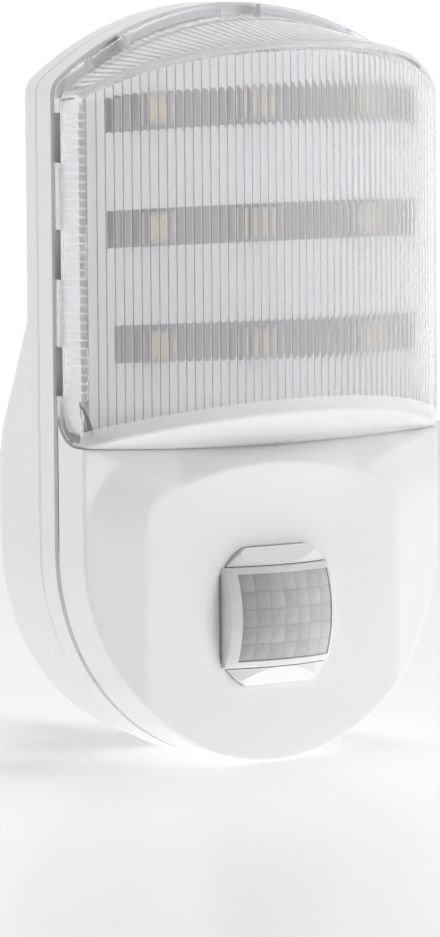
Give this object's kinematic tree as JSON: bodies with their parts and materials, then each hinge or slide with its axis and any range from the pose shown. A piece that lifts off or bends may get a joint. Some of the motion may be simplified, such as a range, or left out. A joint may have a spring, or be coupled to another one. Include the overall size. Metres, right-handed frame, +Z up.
{
  "type": "plug in night light",
  "caption": "Plug-in night light with a ribbed clear lens over a white reflector tray, a gridded motion sensor window below it and a round mains plug behind.",
  "frame": {"origin": "middle of the plug's face, between its pins", "axes": "+Z up, +Y back along the pins into the socket, -Y the front of the light, +X to the right as seen from the front"},
  "size_m": [0.072, 0.0773, 0.124],
  "materials": {
    "case_plastic": "satin gloss white",
    "clear_plastic": "clear, ribbed inside",
    "tray_plastic": "satin white",
    "white_board": "coated board",
    "led_package": "moulded white",
    "phosphor": "yellow gel",
    "milky_plastic": "milky, gridded",
    "plated_metal": "plated",
    "dark_glass": "polished",
    "sensor_resin": "clear resin",
    "green_board": "coated board",
    "black_plastic": "moulded black",
    "yellow_plastic": "moulded yellow",
    "can_metal": "sleeved can",
    "resistor_coat": "coated",
    "brass": "stamped",
    "pin_metal": "nickel plated",
    "screw_steel": "zinc plated"
  },
  "bodies": {
    "housing": {"rear_shell": "case_plastic", "middle_frame": "case_plastic", "front_cover": "case_plastic", "plug_body": "case_plastic", "pir_bezel": "case_plastic", "lens": "clear_plastic", "reflector_tray": "tray_plastic", "light_board": "white_board", "leds": "led_package", "led_phosphors": "phosphor", "pir_lens": "milky_plastic", "pir_sensor_can": "plated_metal", "pir_sensor_window": "dark_glass", "pir_sensor_spacer": "black_plastic", "daylight_sensor": "sensor_resin", "main_board": "green_board", "link_header": "black_plastic", "link_pins": "brass", "pin_terminals": "brass", "plug_pins": "pin_metal", "film_capacitor": "yellow_plastic", "reservoir_capacitor": "can_metal", "fuse_resistor": "resistor_coat", "rectifier_diodes": "black_plastic", "control_chip": "black_plastic", "chip_resistors": "black_plastic", "switch_body": "black_plastic", "case_screws": "screw_steel", "front_screws": "screw_steel", "board_screws": "screw_steel", "plug_screws": "screw_steel"},
    "switch": {"switch_knob": "case_plastic"}
  },
  "joints": [
    {"name": "switch_slide", "type": "slide", "parent": "housing", "child": "switch", "axis": [0, 0, 1], "range_m": [-0.002, 0.002]}
  ]
}
